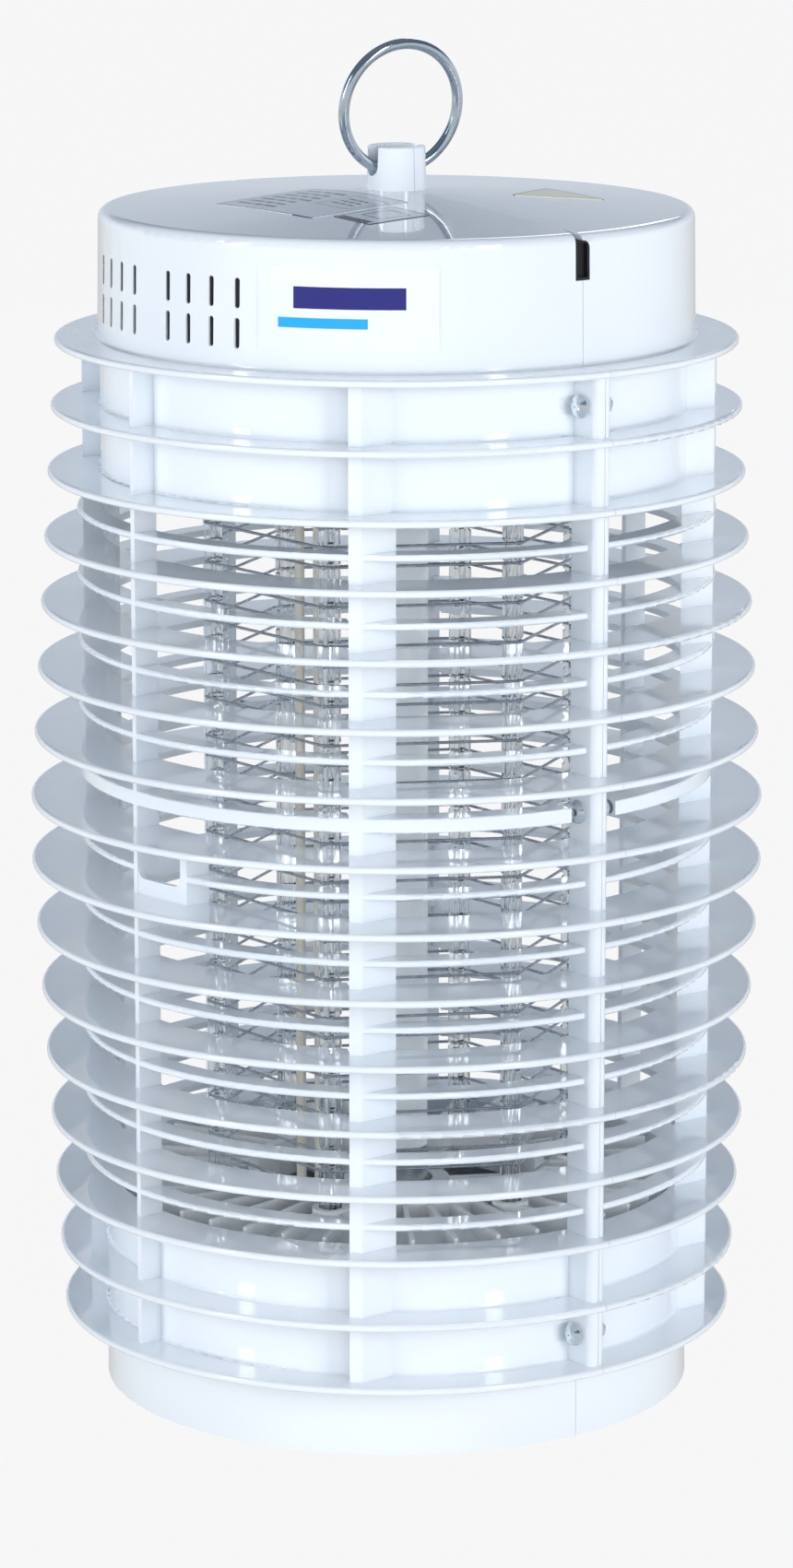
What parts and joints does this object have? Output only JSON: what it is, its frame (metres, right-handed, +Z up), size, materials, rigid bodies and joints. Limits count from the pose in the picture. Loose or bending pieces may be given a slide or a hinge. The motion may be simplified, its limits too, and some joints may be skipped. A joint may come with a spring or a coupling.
{
  "type": "electric insect killer lantern",
  "caption": "White lantern-shaped electric insect killer: stacked round fins over a slatted cage with a wire grid and lamp, drum canopy, swinging top ring.",
  "frame": {"origin": "centre of the foot ring's underside, on the lamp's axis", "axes": "+Z up along the lamp; +X along the seam plane towards the cord notch; -Y towards the half that carries the front badge"},
  "size_m": [0.3, 0.2998, 0.5549],
  "materials": {
    "white_shell": "cool white, glossy moulding",
    "inner_white": "white, satin",
    "bright_wire": "bright zinc plate",
    "zinc": "zinc plate",
    "black_rubber": "moulded, matt",
    "badge": "clear film, plain printed bars",
    "silver_label": "silver film",
    "yellow_label": "pale yellow film",
    "core_steel": "varnished laminations",
    "starter_can": "drawn can",
    "lamp_glass": "phosphor-coated tube",
    "lamp_metal": "satin",
    "pin_brass": "bright",
    "grid_steel": "drawn wire",
    "lead_cream": "cream insulation",
    "clear_post": "clear moulding"
  },
  "bodies": {
    "housing": {"front_shell": "white_shell", "rear_shell": "white_shell", "seam_screws": "zinc", "seam_nuts": "zinc", "cord_bush": "black_rubber", "front_badge": "badge", "rating_label": "silver_label", "symbol_label": "silver_label", "triangle_label": "yellow_label", "chassis_disc": "inner_white", "chassis_screws": "zinc", "ballast": "core_steel", "hv_transformer": "core_steel", "starter_socket": "inner_white", "starter": "starter_can", "terminal_block": "inner_white", "lower_grille": "inner_white", "upper_holder": "inner_white", "lower_holder": "inner_white", "grid_wire_live": "grid_steel", "grid_wire_return": "grid_steel", "lead_wire_1": "lead_cream", "lead_wire_2": "lead_cream", "grid_post_1": "clear_post", "grid_post_2": "clear_post", "grid_post_3": "clear_post", "grid_post_4": "clear_post", "grid_post_5": "clear_post", "grid_post_6": "clear_post"},
    "ring": {"hang_ring": "bright_wire"},
    "tray": {"catch_tray": "inner_white"},
    "lamp": {"lamp_glass": "lamp_glass", "lamp_cap_upper": "lamp_metal", "lamp_cap_lower": "lamp_metal", "lamp_pins": "pin_brass", "upper_rotor": "inner_white", "lower_rotor": "inner_white"}
  },
  "joints": [
    {"name": "ring_swing", "type": "hinge", "parent": "housing", "child": "ring", "pos_m": [0, 0, 0.5014], "axis": [0.1392, 0.9903, 0], "range_deg": [-18, 2]},
    {"name": "lamp_twist", "type": "hinge", "parent": "housing", "child": "lamp", "pos_m": [0, 0, 0.2427], "axis": [0, 0, 1], "range_deg": [0, 90]},
    {"name": "tray_drop", "type": "slide", "parent": "housing", "child": "tray", "axis": [0, 0, -1], "range_m": [0, 0.06]}
  ]
}
